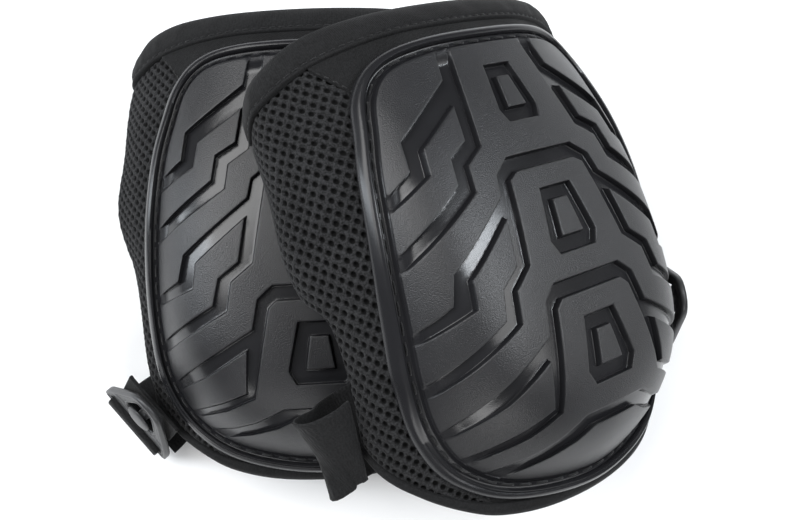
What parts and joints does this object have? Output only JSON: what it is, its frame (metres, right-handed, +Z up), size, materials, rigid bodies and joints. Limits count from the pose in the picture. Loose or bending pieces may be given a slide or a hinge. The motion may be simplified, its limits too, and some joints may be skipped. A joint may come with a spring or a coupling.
{
  "type": "knee pads",
  "caption": "Pair of gel knee pads with hard treaded caps, padded mesh wings and clip-on elastic straps, lying caps up, one leaning on the other.",
  "frame": {"origin": "centre of the bounding box at floor level", "axes": "+Z up from the floor, +Y towards the thigh end of the left pad, +X from the left pad to the right pad"},
  "size_m": [0.2843, 0.23, 0.1381],
  "materials": {
    "cap_shell": "fine satin grain on the raised tread, glossier groove floors",
    "foam": "closed-cell foam, hidden",
    "gel": "soft gel, hidden",
    "lining": "fine knitted lining",
    "woven_cloth": "coarse plain weave",
    "spacer_mesh": "open hexagonal spacer mesh over foam",
    "binding_tape": "ribbed woven tape",
    "webbing": "ribbed elastic webbing",
    "clip_plastic": "satin moulded plastic"
  },
  "bodies": {
    "left_pad": {"left_shell": "cap_shell", "left_foam_core": "foam", "left_gel_insert": "gel", "left_liner": "lining", "left_top_panel": "woven_cloth", "left_bottom_panel": "woven_cloth", "left_inner_wing": "spacer_mesh", "left_outer_wing": "spacer_mesh", "left_top_binding": "binding_tape", "left_bottom_binding": "binding_tape", "left_upper_tab": "webbing", "left_lower_tab": "webbing", "left_upper_strap": "webbing", "left_lower_strap": "webbing"},
    "right_pad": {"right_shell": "cap_shell", "right_foam_core": "foam", "right_gel_insert": "gel", "right_liner": "lining", "right_top_panel": "woven_cloth", "right_bottom_panel": "woven_cloth", "right_inner_wing": "spacer_mesh", "right_outer_wing": "spacer_mesh", "right_top_binding": "binding_tape", "right_bottom_binding": "binding_tape", "right_upper_tab": "webbing", "right_lower_tab": "webbing", "right_upper_strap": "webbing", "right_lower_strap": "webbing"},
    "left_upper_rivet": {"left_upper_stud": "clip_plastic"},
    "left_upper_buckle": {"left_upper_clip": "clip_plastic", "left_upper_strap_loop": "webbing"},
    "left_lower_rivet": {"left_lower_stud": "clip_plastic"},
    "left_lower_buckle": {"left_lower_clip": "clip_plastic", "left_lower_strap_loop": "webbing"},
    "right_upper_rivet": {"right_upper_stud": "clip_plastic"},
    "right_upper_buckle": {"right_upper_clip": "clip_plastic", "right_upper_strap_loop": "webbing"},
    "right_lower_rivet": {"right_lower_stud": "clip_plastic"},
    "right_lower_buckle": {"right_lower_clip": "clip_plastic", "right_lower_strap_loop": "webbing"}
  },
  "joints": [
    {"name": "right_pad_lift", "type": "slide", "parent": "left_pad", "child": "right_pad", "axis": [0, 0, 1], "range_m": [0, 0.2]},
    {"name": "left_upper_clip_turn", "type": "hinge", "parent": "left_pad", "child": "left_upper_rivet", "pos_m": [-0.0903, 0.0348, 0.0108], "axis": [0, 0, -1], "range_deg": [-12, 12], "deforming": ["left_upper_strap"]},
    {"name": "left_upper_clip_unhook", "type": "slide", "parent": "left_upper_rivet", "child": "left_upper_buckle", "axis": [-1, 0, 0], "range_m": [-0.008, 0]},
    {"name": "left_lower_clip_turn", "type": "hinge", "parent": "left_pad", "child": "left_lower_rivet", "pos_m": [-0.1153, -0.0672, 0.026], "axis": [-0.7089, -0.5635, 0.4241], "range_deg": [-10, 10], "deforming": ["left_lower_strap"]},
    {"name": "left_lower_clip_unhook", "type": "slide", "parent": "left_lower_rivet", "child": "left_lower_buckle", "axis": [0.3317, 0.2643, 0.9056], "range_m": [-0.008, 0.003]},
    {"name": "right_upper_clip_turn", "type": "hinge", "parent": "right_pad", "child": "right_upper_rivet", "pos_m": [0.08201, 0.03597, 0.03119], "axis": [-0.8025, -0.2271, -0.5517], "range_deg": [-12, 12], "deforming": ["right_upper_strap"]},
    {"name": "right_upper_clip_unhook", "type": "slide", "parent": "right_upper_rivet", "child": "right_upper_buckle", "axis": [0.5308, 0.1502, -0.834], "range_m": [-0.008, 0]},
    {"name": "right_lower_clip_turn", "type": "hinge", "parent": "right_pad", "child": "right_lower_rivet", "pos_m": [0.12994, -0.02945, 0.03566], "axis": [0.9973, 0.0741, -0.0014], "range_deg": [-10, 10], "deforming": ["right_lower_strap"]},
    {"name": "right_lower_clip_unhook", "type": "slide", "parent": "right_lower_rivet", "child": "right_lower_buckle", "axis": [-0.0062, 0.1024, 0.9947], "range_m": [-0.008, 0.003]}
  ]
}
